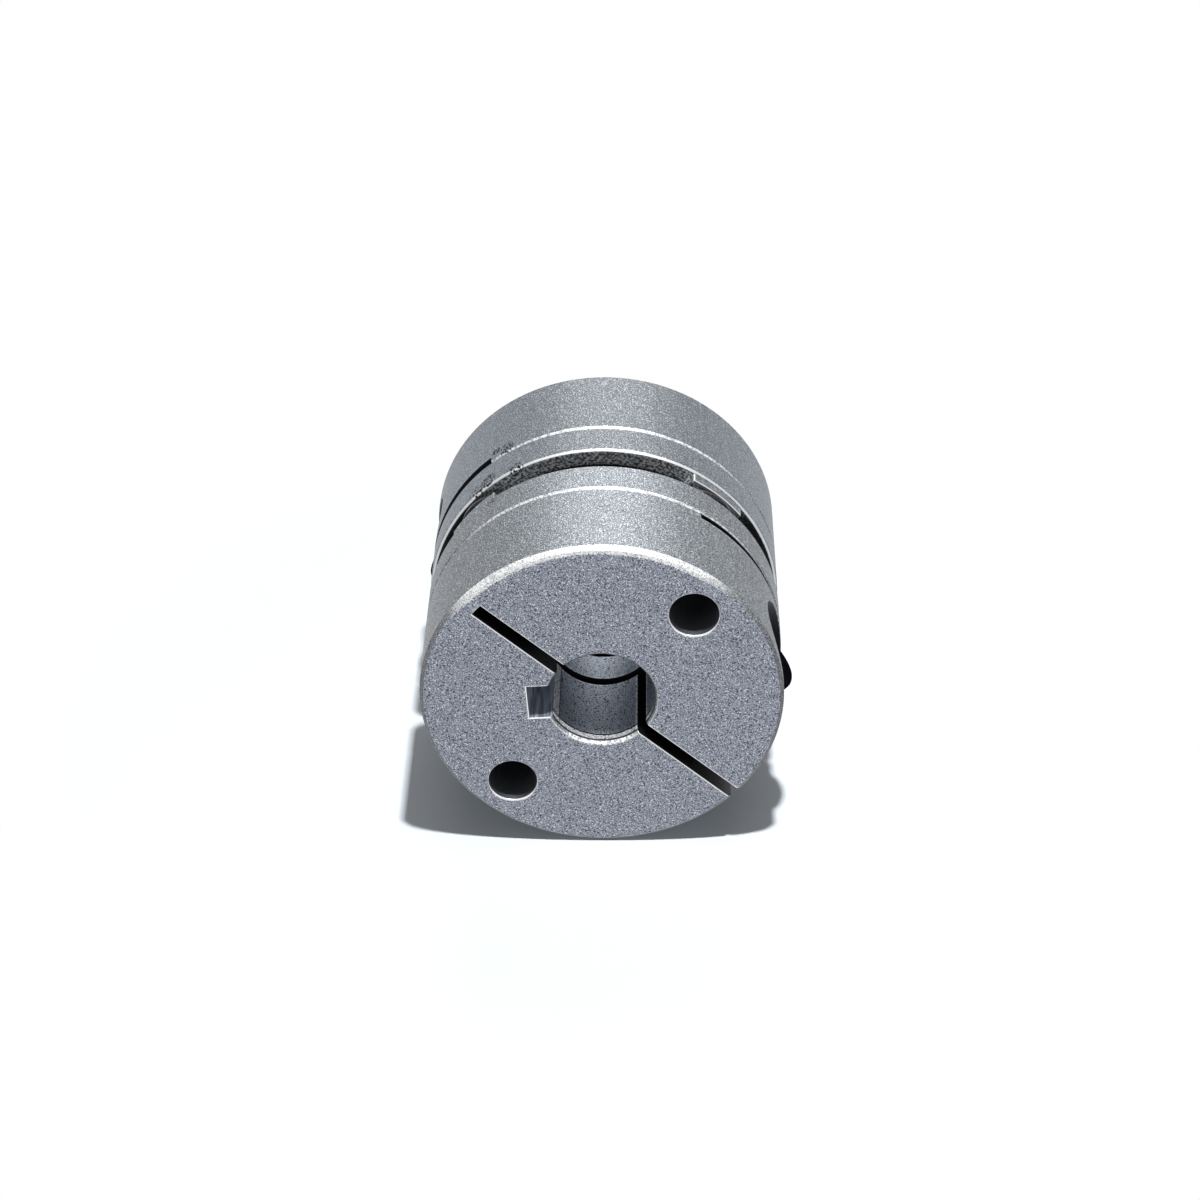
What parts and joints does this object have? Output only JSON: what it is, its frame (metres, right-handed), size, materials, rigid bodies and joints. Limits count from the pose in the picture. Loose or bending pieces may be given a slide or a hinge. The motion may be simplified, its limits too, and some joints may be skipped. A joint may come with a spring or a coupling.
{
  "type": "disc coupling",
  "caption": "Round shaft coupling with split, keyed clamp hubs joined through a thin flexible steel disc.",
  "frame": {"origin": "centre of the lower hub's outer face, on the coupling's axis, at the surface that the coupling stands on", "axes": "+Z along the coupling's axis from the lower hub to the upper one; the upper hub's slot opens towards -X and the lower hub's towards +Y"},
  "size_m": [0.034, 0.034, 0.0308],
  "materials": {
    "hub_aluminium": "blasted and clear anodised",
    "leaf_steel": "rolled stainless spring steel",
    "collar_steel": "turned stainless steel",
    "screw_steel": "black oxide"
  },
  "bodies": {
    "root": {"lower_hub": "hub_aluminium", "upper_hub": "hub_aluminium", "lower_clamp_screw": "screw_steel", "upper_clamp_screw": "screw_steel", "disc_leaf_1": "leaf_steel", "disc_leaf_2": "leaf_steel", "disc_leaf_3": "leaf_steel", "front_collar": "collar_steel", "back_collar": "collar_steel", "left_collar": "collar_steel", "right_collar": "collar_steel", "front_bolt": "screw_steel", "back_bolt": "screw_steel", "left_bolt": "screw_steel", "right_bolt": "screw_steel"}
  },
  "joints": []
}
